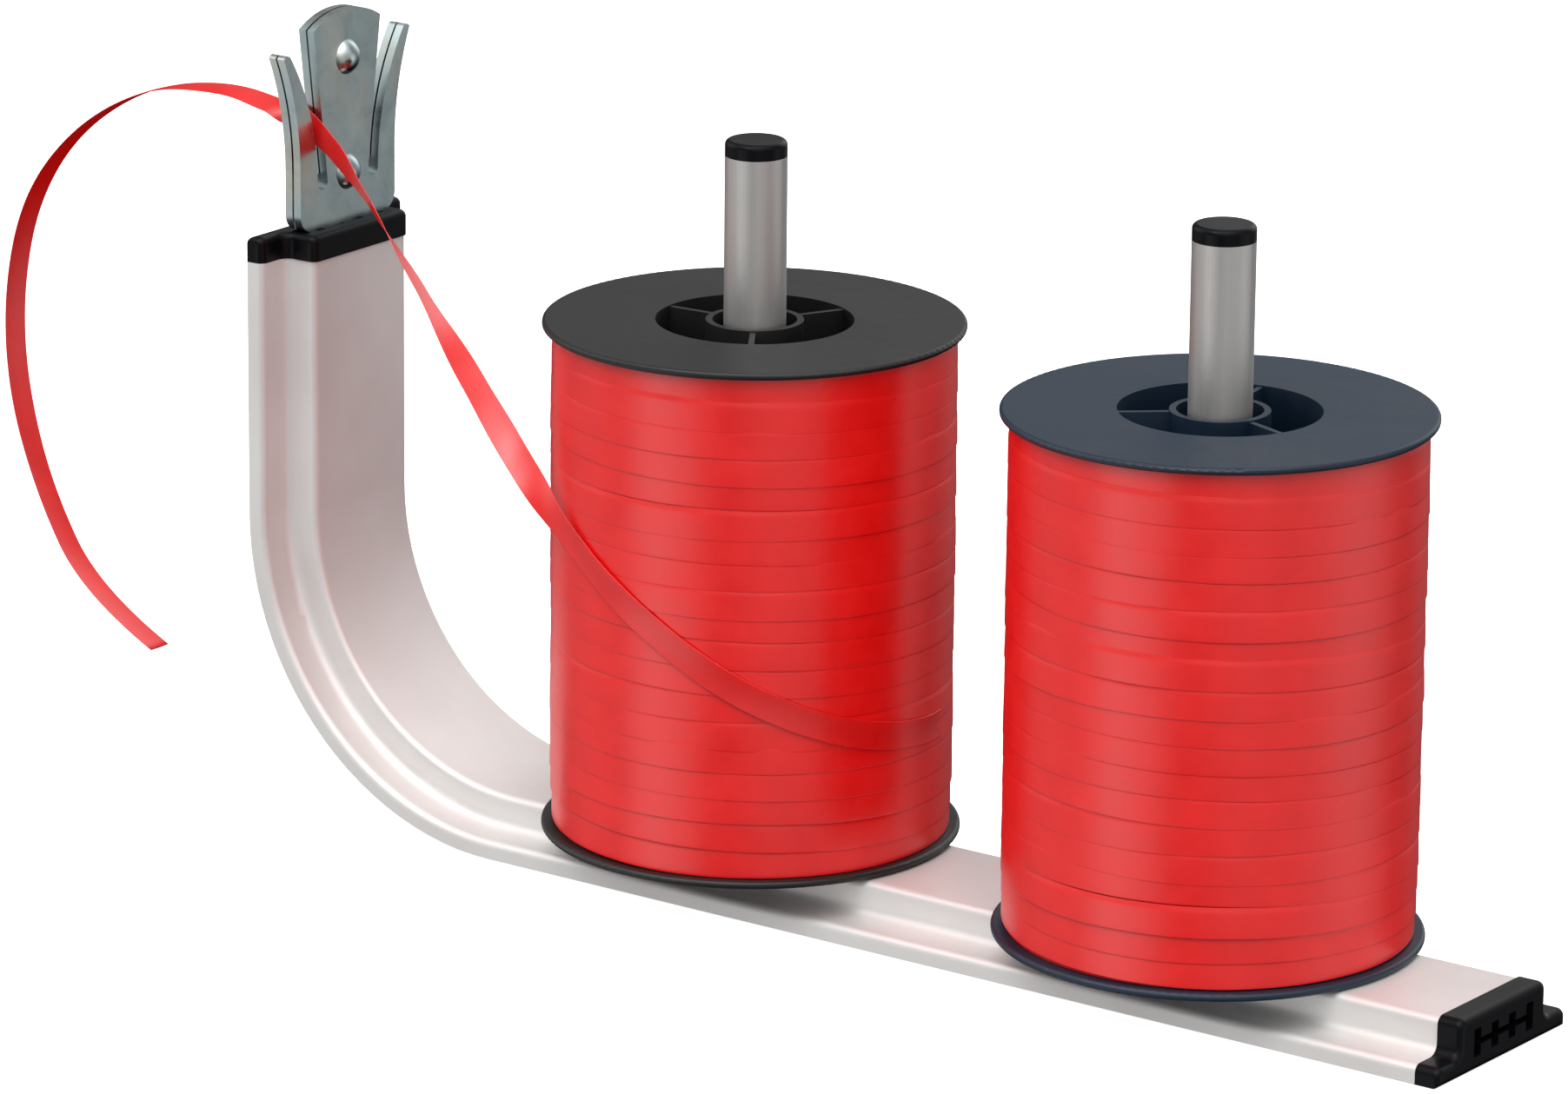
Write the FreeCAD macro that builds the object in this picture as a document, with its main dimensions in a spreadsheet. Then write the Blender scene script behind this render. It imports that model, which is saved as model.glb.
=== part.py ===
import FreeCAD, Part
import math
import os
import Sketcher

# Ribbon spool dispenser for a shop counter. A bent aluminium rail is base and upright in one.
# Two spools of curling ribbon turn on fixed spindles on the base. A zinc-plated holder on top
# of the upright has two V notches that pinch the ribbon, with a blade between its plates.
# Millimetres, +Z up, +X from the upright to the free end of the base. The origin is under the
# middle of the whole length, on the surface that the rail stands on.

Vector = FreeCAD.Vector

SIZES = {
    # rail: an extruded hat section, open underneath, bent upwards at the back
    "overall_length": 325.0,
    "rail_width": 52.0,
    "rail_height": 12.5,
    "rail_wall": 1.8,
    "raised_width": 34.0,
    "flange_height": 4.4,
    "rail_edge_round": 1.8,
    "rail_inner_round": 0.5,
    "rail_foot_fillet": 2.8,
    "bend_radius": 70.0,
    "upright_height": 129.8,
    # end caps: one moulding, used on both ends of the rail
    "cap_thickness": 6.0,
    "cap_proud": 0.4,
    "cap_edge_round": 1.6,
    "cap_corner_round": 2.0,
    "cap_foot_fillet": 2.6,
    "plug_depth": 9.0,
    "plug_wall": 1.4,
    "plug_clearance": 0.15,
    "slot_height": 6.5,
    "slot_thickness": 1.5,
    "slot_length": 22.0,
    "bar_width": 2.8,
    "inner_bar_height": 5.7,
    "outer_bar_height": 6.3,
    "inner_bar_place": 3.5,
    "outer_bar_place": 10.6,
    # ribbon holder: two equal pressed plates with a blade between them
    "plate_thickness": 2.0,
    "plate_width": 34.4,
    "plate_corner_round": 4.0,
    "flare_start": 14.3,
    "prong_tip_place": 20.4,
    "prong_tip_width": 2.5,
    "prong_tip_height": 41.9,
    "prong_tip_radius": 1.5,
    "notch_width": 3.65,
    "notch_place": 9.18,
    "notch_shoulder": 10.6,
    "tongue_top_width": 24.1,
    "tongue_corner_height": 46.6,
    "tongue_top_rise": 3.4,
    "finger_width": 2.2,
    "finger_reach": 8.0,
    "blade_thickness": 0.5,
    "blade_inset": 0.7,
    "blade_edge_height": 13.5,
    "blade_tang_width": 20.6,
    "rivet_shank": 4.0,
    "rivet_head": 8.2,
    "rivet_head_height": 2.5,
    "rivet_low_place": 11.6,
    "rivet_high_drop": 7.9,
    # spindles: tubes screwed to the rail from below
    "first_spindle_place": 125.0,
    "spindle_spacing": 124.0,
    "spindle_diameter": 14.0,
    "spindle_wall": 1.5,
    "spindle_length": 156.3,
    "spindle_cap_height": 3.6,
    "spindle_cap_round": 1.2,
    "spindle_cap_plug": 8.0,
    "spindle_cap_plug_clearance": 0.05,
    "insert_length": 18.0,
    "thread_diameter": 5.0,
    "thread_clearance": 0.1,
    "screw_hole_clearance": 0.3,
    "screw_length": 16.0,
    "screw_head": 9.5,
    "screw_head_height": 3.0,
    "screw_head_round": 1.0,
    "screw_socket": 3.0,
    "screw_socket_depth": 1.8,
    "washer_diameter": 12.0,
    "washer_thickness": 1.0,
    # spools: two plastic mouldings each, joined by a spigot halfway up the core
    "spool_gap": 0.3,
    "spool_height": 118.4,
    "flange_diameter": 95.0,
    "flange_thickness": 1.7,
    "flange_rim_round": 0.75,
    "core_diameter": 48.0,
    "core_wall": 1.75,
    "spigot_length": 4.0,
    "spigot_clearance": 0.05,
    "hub_diameter": 22.0,
    "hub_wall": 1.5,
    "rib_thickness": 1.3,
    "rib_drop": 0.3,
    "half_gap": 0.1,
    # windings
    "winding_diameter": 91.5,
    "winding_foot_diameter": 90.0,
    "winding_foot_height": 12.0,
    # free ribbon
    "ribbon_width": 6.3,
    "ribbon_thickness": 0.3,
    "ribbon_lift": 0.3,
}
RIB_COUNT = 3
FIRST_RIB_ANGLES = {1: 304.0, 2: 220.0}

# The free ribbon's route, corner by corner, and the direction across the ribbon at each corner.
# It lies on the winding of spool 1: angle around the spool and height above the rail.
RIBBON_ON_WINDING = [
    (43.0, 29.5),
    (28.0, 29.5),
    (358.0, 30.6),
    (328.0, 35.7),
    (298.0, 47.0),
    (268.0, 63.3),
]
# It rises to the left notch with half a turn: share of the way, and the bow off a straight line.
RIBBON_TO_NOTCH = [
    (0.18, (0.0, 0.0, -3.0), (0.0, 0.0, 1.0)),
    (0.30, (0.0, 0.0, -3.0), (0.6, 0.5, 0.6)),
    (0.46, (0.0, 0.0, -1.0), (0.4, 0.9, 0.1)),
    (0.64, (0.0, 0.0, 2.0), (-0.1, 0.9, -0.4)),
    (0.81, (0.0, 0.0, 3.5), (-0.5, 0.5, -0.7)),
    (0.94, (0.0, 2.0, 1.0), (-0.5, 0.0, -0.9)),
]
# It leaves the notch on edge, turns flat behind it and hangs in a free curl to its cut end.
RIBBON_PAST_NOTCH = [
    ((-4.5, 0.0, 2.5), (-0.5, 0.0, -0.9)),
    ((-11.0, 0.0, 4.5), (-0.1, -1.0, -0.2)),
    ((-24.0, -0.5, 6.0), (0.0, -1.0, 0.0)),
    ((-47.0, -0.5, 3.0), (0.0, -1.0, 0.0)),
    ((-69.0, -1.0, -10.0), (0.0, -1.0, 0.0)),
    ((-84.0, -1.0, -29.0), (-0.1, -1.0, 0.0)),
    ((-90.0, -1.0, -53.0), (-0.1, -1.0, 0.0)),
    ((-89.0, -1.0, -77.0), (-0.1, -1.0, 0.0)),
    ((-81.0, -1.0, -101.0), (0.0, -1.0, 0.0)),
    ((-67.0, -1.0, -123.0), (0.0, -1.0, 0.0)),
    ((-46.0, -1.0, -133.0), (0.0, -1.0, 0.0)),
]
RIBBON_NOTCH_OFFSET = 1.75
RIBBON_NOTCH_HEIGHT = 24.0
ARC_SHARE = 0.45
ARC_STATIONS = 4

doc = FreeCAD.newDocument("ribbon_spool_dispenser")
sheet = doc.addObject("Spreadsheet::Sheet", "Sizes")
for row, (alias, value) in enumerate(SIZES.items(), start=1):
    sheet.set(f"A{row}", alias.replace("_", " "))
    sheet.set(f"B{row}", str(value))
    sheet.setAlias(f"B{row}", alias)
doc.recompute()


class Size:
    """A length: its value now, and the expression that gives it from the sheet."""

    def __init__(self, value, text):
        self.value = float(value)
        self.text = text

    def with_other(self, other, sign, value):
        return Size(value, f"({self.text} {sign} {other.text})")

    def __add__(self, other):
        other = size_of(other)
        return self.with_other(other, "+", self.value + other.value)

    def __radd__(self, other):
        return size_of(other) + self

    def __sub__(self, other):
        other = size_of(other)
        return self.with_other(other, "-", self.value - other.value)

    def __rsub__(self, other):
        return size_of(other) - self

    def __mul__(self, other):
        other = size_of(other)
        return self.with_other(other, "*", self.value * other.value)

    def __rmul__(self, other):
        return size_of(other) * self

    def __truediv__(self, other):
        other = size_of(other)
        return self.with_other(other, "/", self.value / other.value)

    def __neg__(self):
        return Size(-self.value, f"(0 - {self.text})")


def size_of(number):
    return number if isinstance(number, Size) else Size(number, repr(float(number)))


def sheet_size(alias):
    return Size(sheet.get(alias), f"Sizes.{alias}")


def bind(thing, path, size):
    thing.setExpression(path, size_of(size).text)


# Places that several pieces share.
back_x = -sheet_size("overall_length") / 2
rail_end_x = sheet_size("overall_length") / 2 - sheet_size("cap_thickness")
spindle_x = {1: back_x + sheet_size("first_spindle_place")}
spindle_x[2] = spindle_x[1] + sheet_size("spindle_spacing")
rail_top = sheet_size("rail_height")
under_rail_top = rail_top - sheet_size("rail_wall")
spool_foot = rail_top + sheet_size("spool_gap")
holder_foot = sheet_size("upright_height") + sheet_size("cap_thickness")
holder_x = back_x + sheet_size("slot_height")
rivet_heights = {
    "lower": sheet_size("rivet_low_place"),
    "upper": sheet_size("tongue_corner_height") - sheet_size("rivet_high_drop"),
}

# Local axes to the row's: lateral, up and out of the face become Y, Z and X.
FACING_X = FreeCAD.Rotation(Vector(1, 1, 1), 120)
FACING_BACK = FreeCAD.Rotation(Vector(0, 0, 1), 180).multiply(FACING_X)
FACING_UP = FreeCAD.Rotation(Vector(0, 0, 1), -90)
UPRIGHT = FreeCAD.Rotation()
UPSIDE_DOWN = FreeCAD.Rotation(Vector(1, 0, 0), 180)

pieces = []


def place(thing, rotation=UPRIGHT, x=0.0, y=0.0, z=0.0):
    """Turn a piece and set its place from the sheet."""
    spot = [size_of(x), size_of(y), size_of(z)]
    thing.Placement = FreeCAD.Placement(Vector(*[size.value for size in spot]), rotation)
    for axis, size in zip("xyz", spot):
        bind(thing, f"Placement.Base.{axis}", size)


def new_piece(name):
    body = doc.addObject("PartDesign::Body", name)
    body.Label = name
    pieces.append(body)
    return body


def origin_part(body, role):
    return next(part for part in body.Origin.OriginFeatures if part.Role == role)


def new_sketch(body, name, plane="XY_Plane", offset=0.0):
    sketch = body.newObject("Sketcher::SketchObject", name)
    sketch.AttachmentSupport = [(origin_part(body, plane), "")]
    sketch.MapMode = "FlatFace"
    sketch.AttachmentOffset = FreeCAD.Placement(Vector(0, 0, size_of(offset).value), UPRIGHT)
    bind(sketch, "AttachmentOffset.Base.z", offset)
    return sketch


def constrain_point(sketch, edge, end, point):
    """Hold one end of an edge at its place from the sketch's origin."""
    for kind, axis, size in (("DistanceX", -2, point[0]), ("DistanceY", -1, point[1])):
        size = size_of(size)
        if size.value == 0:
            sketch.addConstraint(Sketcher.Constraint("PointOnObject", edge, end, axis))
        else:
            number = sketch.addConstraint(
                Sketcher.Constraint(kind, -1, 1, edge, end, size.value))
            bind(sketch, f"Constraints[{number}]", size)


def arc_between(start, end, radius, turn):
    """The shorter arc from start to end; turn is 1 to the left and -1 to the right."""
    chord = end - start
    middle = (start + end) / 2
    height = math.sqrt(max(radius ** 2 - (chord.Length / 2) ** 2, 0.0))
    left = Vector(-chord.y, chord.x, 0).normalize()
    centre = middle + left * height * turn
    angles = [math.atan2(point.y - centre.y, point.x - centre.x) for point in (start, end)]
    if turn < 0:
        angles.reverse()
    circle = Part.Circle(centre, Vector(0, 0, 1), radius)
    return Part.ArcOfCircle(circle, angles[0], angles[1])


def draw_outline(sketch, start, steps, closed=True):
    """Draw edges from point to point. A step is (x, y), or (x, y, radius, turn) for an arc."""
    points = [start] + [step[:2] for step in steps]
    ends = []
    for step, here, there in zip(steps, points, points[1:]):
        first, last = [Vector(size_of(p[0]).value, size_of(p[1]).value, 0) for p in (here, there)]
        if len(step) == 2:
            edge = sketch.addGeometry(Part.LineSegment(first, last), False)
            ends.append((edge, 1, 2))
        else:
            radius = size_of(step[2])
            arc = arc_between(first, last, radius.value, step[3])
            edge = sketch.addGeometry(arc, False)
            ends.append((edge, 1, 2) if step[3] > 0 else (edge, 2, 1))
            number = sketch.addConstraint(Sketcher.Constraint("Radius", edge, radius.value))
            bind(sketch, f"Constraints[{number}]", radius)
    for (edge, first_end, _), point in zip(ends, points):
        constrain_point(sketch, edge, first_end, point)
    for (edge, _, last_end), (follower, first_end, _) in zip(ends, ends[1:]):
        sketch.addConstraint(
            Sketcher.Constraint("Coincident", edge, last_end, follower, first_end))
    if closed:
        sketch.addConstraint(
            Sketcher.Constraint("Coincident", ends[-1][0], ends[-1][2], ends[0][0], ends[0][1]))
    else:
        constrain_point(sketch, ends[-1][0], ends[-1][2], points[-1])


def squared_steps(corners):
    """The start and steps of an outline whose edges run along the axes, each corner rounded."""
    count = len(corners)
    steps = []
    for number, (x, y, radius) in enumerate(corners):
        before = corners[number - 1]
        after = corners[(number + 1) % count]
        toward = []
        for other in (before, after):
            run_x = size_of(other[0]).value - size_of(x).value
            run_y = size_of(other[1]).value - size_of(y).value
            toward.append((math.copysign(1, run_x) if abs(run_x) > abs(run_y) else 0,
                           math.copysign(1, run_y) if abs(run_y) > abs(run_x) else 0))
        if size_of(radius).value == 0:
            steps.append((x, y))
            continue
        (in_x, in_y), (out_x, out_y) = toward
        turn = 1 if out_x * in_y - out_y * in_x > 0 else -1
        steps.append((x + in_x * radius if in_x else x, y + in_y * radius if in_y else y))
        steps.append((x + out_x * radius if out_x else x, y + out_y * radius if out_y else y,
                      radius, turn))
    start = steps.pop(0)
    steps.append(start[:2])
    return start, steps


def rectangle(sketch, x_low, x_high, y_low, y_high):
    draw_outline(sketch, (x_low, y_low),
                 [(x_high, y_low), (x_high, y_high), (x_low, y_high), (x_low, y_low)])


def draw_circle(sketch, x, y, radius):
    centre = Vector(size_of(x).value, size_of(y).value, 0)
    edge = sketch.addGeometry(
        Part.Circle(centre, Vector(0, 0, 1), size_of(radius).value), False)
    constrain_point(sketch, edge, 3, (x, y))
    number = sketch.addConstraint(Sketcher.Constraint("Radius", edge, size_of(radius).value))
    bind(sketch, f"Constraints[{number}]", radius)


def pad(body, sketch, length, name, reverse=False):
    feature = body.newObject("PartDesign::Pad", name)
    feature.Profile = sketch
    feature.Reversed = reverse
    bind(feature, "Length", length)
    return feature


def cut(body, sketch, name, depth=None, reverse=False):
    """Pocket a sketch through the whole piece, or to a depth, and see that it removes some."""
    doc.recompute()
    before = body.Shape.Volume
    feature = body.newObject("PartDesign::Pocket", name)
    feature.Profile = sketch
    feature.Reversed = reverse
    if depth is None:
        feature.Type = "ThroughAll"
        feature.Midplane = True
    else:
        bind(feature, "Length", depth)
    doc.recompute()
    if body.Shape.Volume > before - 1e-3:
        raise RuntimeError(f"{name} of {body.Label} removes nothing")
    return feature


def revolve(body, sketch, name):
    feature = body.newObject("PartDesign::Revolution", name)
    feature.Profile = sketch
    feature.ReferenceAxis = (sketch, ["V_Axis"])
    feature.Angle = 360
    return feature


def round_face_edges(body, height, radius, name):
    """Round the edges around the flat face at one height of the piece's own Z."""
    doc.recompute()
    base = body.Tip
    level = size_of(height).value
    edges = []
    for number, edge in enumerate(base.Shape.Edges, start=1):
        box = edge.BoundBox
        if abs(box.ZMin - level) < 1e-4 and abs(box.ZMax - level) < 1e-4:
            edges.append(f"Edge{number}")
    feature = body.newObject("PartDesign::Fillet", name)
    feature.Base = (base, edges)
    bind(feature, "Radius", radius)
    return feature


def mirrored_outline(start, right_steps, bridge):
    """Steps up the right side, one bridge step over the top and back down the mirrored left."""
    points = [start] + [step[:2] for step in right_steps]
    left_steps = []
    for step, point in zip(reversed(right_steps), reversed(points[:-1])):
        left_steps.append((-size_of(point[0]) if size_of(point[0]).value else 0.0, point[1])
                          + tuple(step[2:]))
    return right_steps + [bridge] + left_steps


def hat_corners(half_width, half_raised, height, flange, edge_round, foot_round):
    """The outer corners of the hat section, from the left foot over the top to the right."""
    return [
        (-half_width, 0.0, 0.0),
        (-half_width, flange, edge_round),
        (-half_raised, flange, foot_round),
        (-half_raised, height, edge_round),
        (half_raised, height, edge_round),
        (half_raised, flange, foot_round),
        (half_width, flange, edge_round),
        (half_width, 0.0, 0.0),
    ]


def make_rail():
    body = new_piece("rail")
    wall = sheet_size("rail_wall")
    half_width = sheet_size("rail_width") / 2
    half_raised = sheet_size("raised_width") / 2
    outer = hat_corners(half_width, half_raised, rail_top, sheet_size("flange_height"),
                        sheet_size("rail_edge_round"), sheet_size("rail_foot_fillet"))
    inner = hat_corners(half_width - wall, half_raised - wall, under_rail_top,
                        sheet_size("flange_height") - wall, sheet_size("rail_inner_round"),
                        sheet_size("rail_inner_round"))
    section = new_sketch(body, "rail_section", "YZ_Plane", rail_end_x)
    draw_outline(section, *squared_steps(outer + inner[::-1]))
    path = new_sketch(body, "rail_path", "XZ_Plane")
    bend = sheet_size("bend_radius")
    draw_outline(path, (rail_end_x, 0.0),
                 [(back_x + bend, 0.0), (back_x, bend, bend, -1),
                  (back_x, sheet_size("upright_height"))], closed=False)
    pipe = body.newObject("PartDesign::AdditivePipe", "rail_pipe")
    pipe.Profile = section
    pipe.Spine = path
    holes = new_sketch(body, "spindle_screw_holes", offset=rail_top)
    hole_radius = sheet_size("thread_diameter") / 2 + sheet_size("screw_hole_clearance") / 2
    for x in spindle_x.values():
        draw_circle(holes, x, 0.0, hole_radius)
    cut(body, holes, "spindle_screw_holes_cut", depth=2 * wall)


def make_end_cap(name):
    """Local axes: X across the rail, Y up from its underside, Z out of its end."""
    body = new_piece(name)
    proud = sheet_size("cap_proud")
    outline = new_sketch(body, name + "_outline")
    draw_outline(outline, *squared_steps(hat_corners(
        sheet_size("rail_width") / 2, sheet_size("raised_width") / 2 + proud, rail_top + proud,
        sheet_size("flange_height"), sheet_size("cap_corner_round"),
        sheet_size("cap_foot_fillet"))))
    thickness = sheet_size("cap_thickness")
    pad(body, outline, thickness, name + "_plate")
    round_face_edges(body, thickness, sheet_size("cap_edge_round"), name + "_edge_round")
    plug_half = sheet_size("raised_width") / 2 - sheet_size("rail_wall") - sheet_size("plug_clearance")
    plug_top = under_rail_top - sheet_size("plug_clearance")
    plug_low = sheet_size("plug_clearance")
    plug = new_sketch(body, name + "_plug_outline")
    rectangle(plug, -plug_half, plug_half, plug_low, plug_top)
    wall = sheet_size("plug_wall")
    rectangle(plug, -plug_half + wall, plug_half - wall, plug_low + wall, plug_top - wall)
    pad(body, plug, sheet_size("plug_depth"), name + "_plug", reverse=True)
    slot_height = sheet_size("slot_height")
    slot = new_sketch(body, name + "_slot")
    half_slot = sheet_size("slot_length") / 2
    rectangle(slot, -half_slot, half_slot, slot_height - sheet_size("slot_thickness") / 2,
              slot_height + sheet_size("slot_thickness") / 2)
    cut(body, slot, name + "_slot_cut", depth=thickness, reverse=True)
    bars = new_sketch(body, name + "_bars")
    for kind in ("inner", "outer"):
        for side in (-1, 1):
            middle = side * sheet_size(kind + "_bar_place")
            half_bar = sheet_size("bar_width") / 2
            half_height = sheet_size(kind + "_bar_height") / 2
            rectangle(bars, middle - half_bar, middle + half_bar,
                      slot_height - half_height, slot_height + half_height)
    cut(body, bars, name + "_bars_cut", depth=thickness, reverse=True)
    return body


def finger_steps():
    """The two fingers on the right half of a plate, which pass the bars of the cap's slot."""
    half_finger = sheet_size("finger_width") / 2
    low = -(sheet_size("cap_thickness") + sheet_size("finger_reach"))
    steps = []
    for place_alias in ("inner_bar_place", "outer_bar_place"):
        middle = sheet_size(place_alias)
        steps += [(middle - half_finger, 0.0), (middle - half_finger, low),
                  (middle + half_finger, low), (middle + half_finger, 0.0)]
    return steps


def flare_radius(run, climb):
    """The radius of an arc that starts upright and reaches so far out over so high a climb."""
    return (run * run + climb * climb) / (2 * run)


def cut_rivet_holes(body):
    holes = new_sketch(body, body.Label + "_rivet_holes")
    for height in rivet_heights.values():
        draw_circle(holes, 0.0, height, sheet_size("rivet_shank") / 2)
    cut(body, holes, body.Label + "_rivet_holes_cut")


def make_cutter_plate(name):
    """Local axes: X across, Y up from the cap, Z from the blade outwards."""
    body = new_piece(name)
    half_width = sheet_size("plate_width") / 2
    corner = sheet_size("plate_corner_round")
    half_notch = sheet_size("notch_width") / 2
    notch_place = sheet_size("notch_place")
    notch_side = notch_place + half_notch
    shoulder = sheet_size("notch_shoulder")
    flare_start = sheet_size("flare_start")
    tip_height = sheet_size("prong_tip_height")
    tip_inner = sheet_size("prong_tip_place")
    tip_outer = tip_inner + sheet_size("prong_tip_width")
    half_top = sheet_size("tongue_top_width") / 2
    top_corner = sheet_size("tongue_corner_height")
    rise = sheet_size("tongue_top_rise")
    lean = (half_top - notch_place + half_notch) / (top_corner - shoulder)
    right_side = finger_steps() + [
        (half_width - corner, 0.0),
        (half_width, corner, corner, 1),
        (half_width, flare_start),
        (tip_outer, tip_height, flare_radius(tip_outer - half_width, tip_height - flare_start), -1),
        (tip_inner, tip_height, sheet_size("prong_tip_radius"), 1),
        (notch_side, shoulder, flare_radius(tip_inner - notch_side, tip_height - shoulder), 1),
        (notch_place - half_notch * (1 - lean * lean / 2), shoulder + half_notch * lean,
         half_notch, -1),
        (half_top, top_corner),
    ]
    top_radius = (half_top * half_top + rise * rise) / (2 * rise)
    bridge = (-half_top, top_corner, top_radius, 1)
    outline = new_sketch(body, name + "_outline")
    draw_outline(outline, (0.0, 0.0), mirrored_outline((0.0, 0.0), right_side, bridge))
    pad(body, outline, sheet_size("plate_thickness"), name + "_sheet")
    cut_rivet_holes(body)
    return body


def make_cutter_blade():
    """A thin steel blade, set back inside the plates, with its edge across both notches."""
    body = new_piece("cutter_blade")
    inset = sheet_size("blade_inset")
    half_body = sheet_size("plate_width") / 2 - inset
    half_tang = sheet_size("blade_tang_width") / 2
    edge_height = sheet_size("blade_edge_height")
    tongue_foot = sheet_size("notch_place") - sheet_size("notch_width") / 2 - inset
    half_top = sheet_size("tongue_top_width") / 2 - inset
    right_side = [
        (half_tang, -(sheet_size("cap_thickness") + sheet_size("finger_reach"))),
        (half_tang, inset),
        (half_body, inset),
        (half_body, edge_height),
        (tongue_foot, edge_height - 2 * inset),
        (half_top, sheet_size("tongue_corner_height") - inset),
    ]
    bridge = (-half_top, sheet_size("tongue_corner_height") - inset)
    low = (0.0, right_side[0][1])
    outline = new_sketch(body, "cutter_blade_outline")
    draw_outline(outline, low, mirrored_outline(low, right_side, bridge))
    pad(body, outline, sheet_size("blade_thickness"), "cutter_blade_sheet")
    cut_rivet_holes(body)
    place(body, FACING_X, x=holder_x - sheet_size("blade_thickness") / 2, z=holder_foot)


def make_rivet(kind):
    """A snap-head rivet along local Z, its two domed heads on the plates' outer faces."""
    name = f"cutter_rivet_{kind}"
    body = new_piece(name)
    shank = sheet_size("rivet_shank") / 2
    head = sheet_size("rivet_head") / 2
    rise = sheet_size("rivet_head_height")
    reach = sheet_size("blade_thickness") / 2 + sheet_size("plate_thickness")
    dome_radius = (head * head + rise * rise) / (2 * rise)
    outline = new_sketch(body, name + "_outline", "XZ_Plane")
    draw_outline(outline, (0.0, -reach - rise), [
        (head, -reach, dome_radius, 1), (shank, -reach), (shank, reach), (head, reach),
        (0.0, reach + rise, dome_radius, 1), (0.0, -reach - rise)])
    revolve(body, outline, name + "_turned")
    place(body, FACING_X, x=holder_x, z=holder_foot + rivet_heights[kind])


def make_spindle(number):
    """The tube, its cap, and what holds it to the rail, from the top down."""
    x = spindle_x[number]
    outer = sheet_size("spindle_diameter") / 2
    inner = outer - sheet_size("spindle_wall")
    length = sheet_size("spindle_length")
    thread = sheet_size("thread_diameter") / 2

    tube = new_piece(f"spindle_tube_{number}")
    outline = new_sketch(tube, f"spindle_tube_{number}_wall", "XZ_Plane")
    rectangle(outline, inner, outer, 0.0, length)
    revolve(tube, outline, f"spindle_tube_{number}_turned")
    place(tube, x=x, z=rail_top)

    cap = new_piece(f"spindle_cap_{number}")
    height = sheet_size("spindle_cap_height")
    corner = sheet_size("spindle_cap_round")
    plug = inner - sheet_size("spindle_cap_plug_clearance")
    plug_low = -sheet_size("spindle_cap_plug")
    outline = new_sketch(cap, f"spindle_cap_{number}_outline", "XZ_Plane")
    draw_outline(outline, (0.0, plug_low), [
        (plug, plug_low), (plug, 0.0), (outer, 0.0), (outer, height - corner),
        (outer - corner, height, corner, 1), (0.0, height), (0.0, plug_low)])
    revolve(cap, outline, f"spindle_cap_{number}_turned")
    place(cap, x=x, z=rail_top + length)

    insert = new_piece(f"spindle_insert_{number}")
    outline = new_sketch(insert, f"spindle_insert_{number}_wall", "XZ_Plane")
    rectangle(outline, thread, inner, 0.0, sheet_size("insert_length"))
    revolve(insert, outline, f"spindle_insert_{number}_turned")
    place(insert, x=x, z=rail_top)

    washer = new_piece(f"spindle_washer_{number}")
    outline = new_sketch(washer, f"spindle_washer_{number}_wall", "XZ_Plane")
    rectangle(outline, thread + sheet_size("screw_hole_clearance") / 2,
              sheet_size("washer_diameter") / 2, 0.0, sheet_size("washer_thickness"))
    revolve(washer, outline, f"spindle_washer_{number}_turned")
    under_washer = under_rail_top - sheet_size("washer_thickness")
    place(washer, x=x, z=under_washer)

    screw = new_piece(f"spindle_screw_{number}")
    head = sheet_size("screw_head") / 2
    head_height = sheet_size("screw_head_height")
    corner = sheet_size("screw_head_round")
    shank = thread - sheet_size("thread_clearance")
    outline = new_sketch(screw, f"spindle_screw_{number}_outline", "XZ_Plane")
    draw_outline(outline, (0.0, -head_height), [
        (head - corner, -head_height), (head, corner - head_height, corner, 1), (head, 0.0),
        (shank, 0.0), (shank, sheet_size("screw_length")), (0.0, sheet_size("screw_length")),
        (0.0, -head_height)])
    revolve(screw, outline, f"spindle_screw_{number}_turned")
    socket = new_sketch(screw, f"spindle_screw_{number}_socket", offset=-head_height)
    draw_hexagon(socket, sheet_size("screw_socket") / 2)
    cut(screw, socket, f"spindle_screw_{number}_socket_cut",
        depth=sheet_size("screw_socket_depth"), reverse=True)
    place(screw, x=x, z=under_washer)


def draw_hexagon(sketch, half_flats):
    """A hexagon with two flats along X, for a socket key."""
    half_side = half_flats * (1 / math.sqrt(3))
    corner = half_side * 2
    draw_outline(sketch, (corner, 0.0), [
        (half_side, half_flats), (-half_side, half_flats), (-corner, 0.0),
        (-half_side, -half_flats), (half_side, -half_flats), (corner, 0.0)])


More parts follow.
